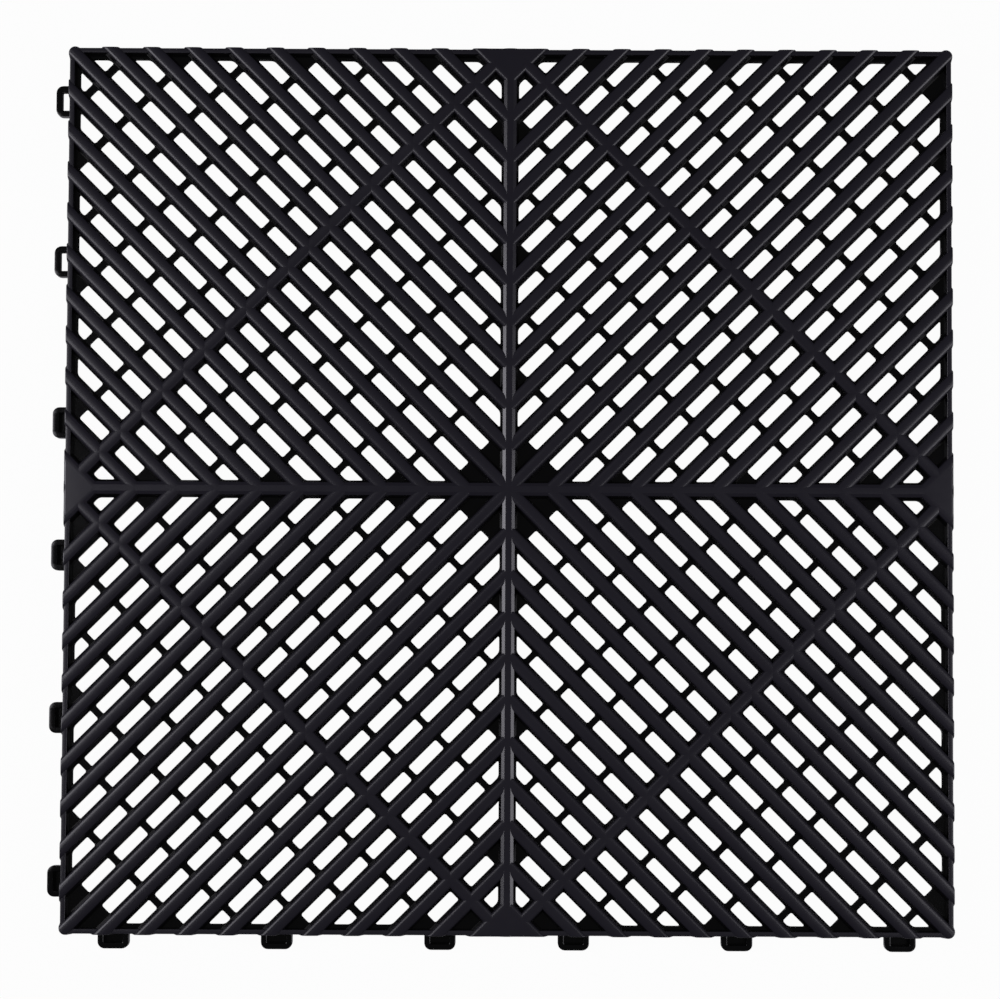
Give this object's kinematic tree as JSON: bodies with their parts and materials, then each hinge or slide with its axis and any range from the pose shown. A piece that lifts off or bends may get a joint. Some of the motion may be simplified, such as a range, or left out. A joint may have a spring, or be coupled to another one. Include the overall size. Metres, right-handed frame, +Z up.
{
  "type": "interlocking plastic floor tile",
  "caption": "Square vented floor tile with diagonal ribs over a slotted deck, loops on two sides and matching tabs under the other two.",
  "frame": {"origin": "middle of the square body's underside, on the foot under the cross", "axes": "+Z up through the rib tops; the loops stand out of the left (-X) and front (-Y) sides, the tabs are on the right (+X) and back (+Y) sides"},
  "size_m": [0.4068, 0.4068, 0.018],
  "materials": {
    "tile_plastic": "black moulded polypropylene, semi-matt with polished rib edges"
  },
  "bodies": {
    "root": {"quarter_back_left": "tile_plastic", "quarter_back_right": "tile_plastic", "quarter_front_right": "tile_plastic", "quarter_front_left": "tile_plastic"}
  },
  "joints": []
}
